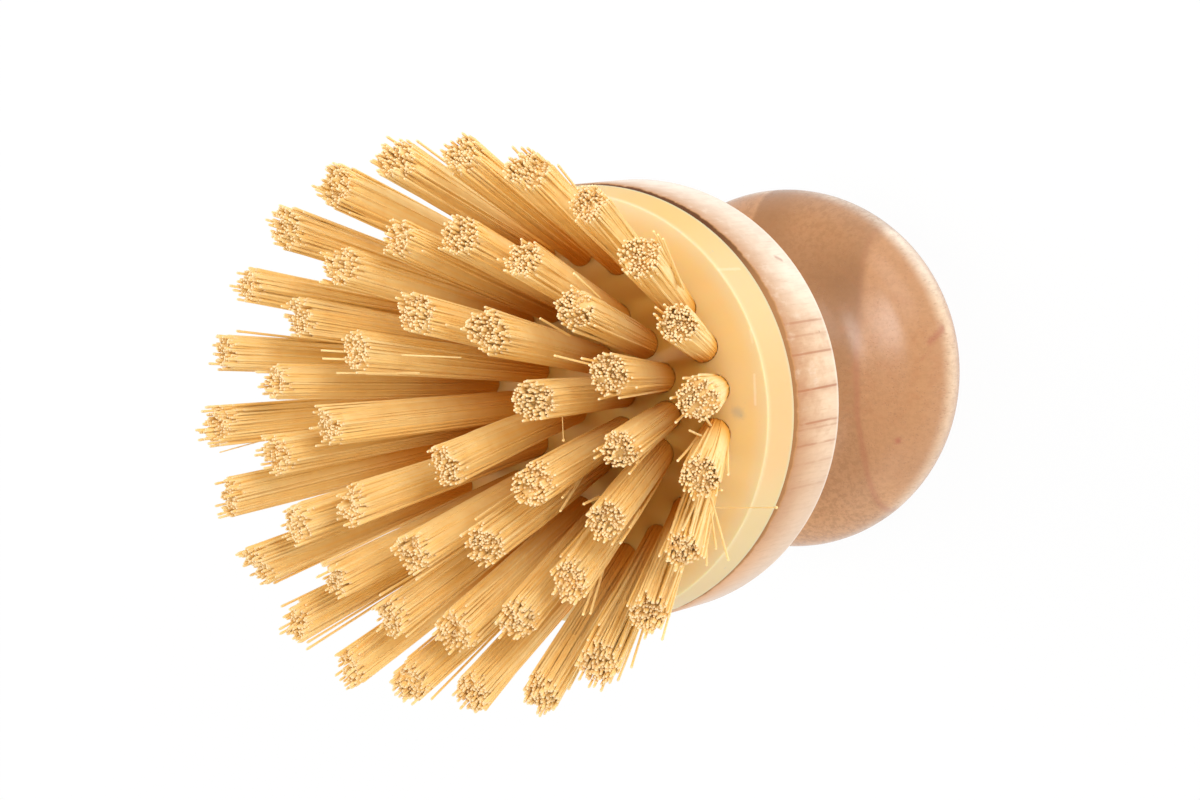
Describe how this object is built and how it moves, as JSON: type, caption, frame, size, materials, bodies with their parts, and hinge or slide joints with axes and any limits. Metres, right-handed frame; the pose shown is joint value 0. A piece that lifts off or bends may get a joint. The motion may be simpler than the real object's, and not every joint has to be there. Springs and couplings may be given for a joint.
{
  "type": "dish brush",
  "caption": "Round palm-held dish brush: turned wooden knob handle with a wide rim, a pale moulded disc set in it, and stiff splayed bristle tufts in rings.",
  "frame": {"origin": "centre of the flat end of the knob, on the brush's axis; the brush stands on it with its bristles up", "axes": "+Z along the brush's axis from the knob to the bristles; +X to the right and +Y away on the bristle face as the picture shows it"},
  "size_m": [0.069, 0.0677, 0.1082],
  "materials": {
    "turned_wood": "satin lacquer",
    "moulded_plastic": "gloss",
    "bristle": "satin filament",
    "anchor_wire": "drawn wire"
  },
  "bodies": {
    "root": {"handle": "turned_wood", "tuft_block": "moulded_plastic", "anchors": "anchor_wire", "tuft_outer_01": "bristle", "tuft_outer_02": "bristle", "tuft_outer_03": "bristle", "tuft_outer_04": "bristle", "tuft_outer_05": "bristle", "tuft_outer_06": "bristle", "tuft_outer_07": "bristle", "tuft_outer_08": "bristle", "tuft_outer_09": "bristle", "tuft_outer_10": "bristle", "tuft_outer_11": "bristle", "tuft_outer_12": "bristle", "tuft_outer_13": "bristle", "tuft_outer_14": "bristle", "tuft_outer_15": "bristle", "tuft_outer_16": "bristle", "tuft_outer_17": "bristle", "tuft_outer_18": "bristle", "tuft_outer_19": "bristle", "tuft_outer_20": "bristle", "tuft_outer_21": "bristle", "tuft_outer_22": "bristle", "tuft_outer_23": "bristle", "tuft_middle_01": "bristle", "tuft_middle_02": "bristle", "tuft_middle_03": "bristle", "tuft_middle_04": "bristle", "tuft_middle_05": "bristle", "tuft_middle_06": "bristle", "tuft_middle_07": "bristle", "tuft_middle_08": "bristle", "tuft_middle_09": "bristle", "tuft_middle_10": "bristle", "tuft_middle_11": "bristle", "tuft_middle_12": "bristle", "tuft_middle_13": "bristle", "tuft_middle_14": "bristle", "tuft_middle_15": "bristle", "tuft_middle_16": "bristle", "tuft_middle_17": "bristle", "tuft_inner_01": "bristle", "tuft_inner_02": "bristle", "tuft_inner_03": "bristle", "tuft_inner_04": "bristle", "tuft_inner_05": "bristle", "tuft_inner_06": "bristle", "tuft_inner_07": "bristle", "tuft_inner_08": "bristle", "tuft_inner_09": "bristle", "tuft_centre": "bristle"}
  },
  "joints": []
}
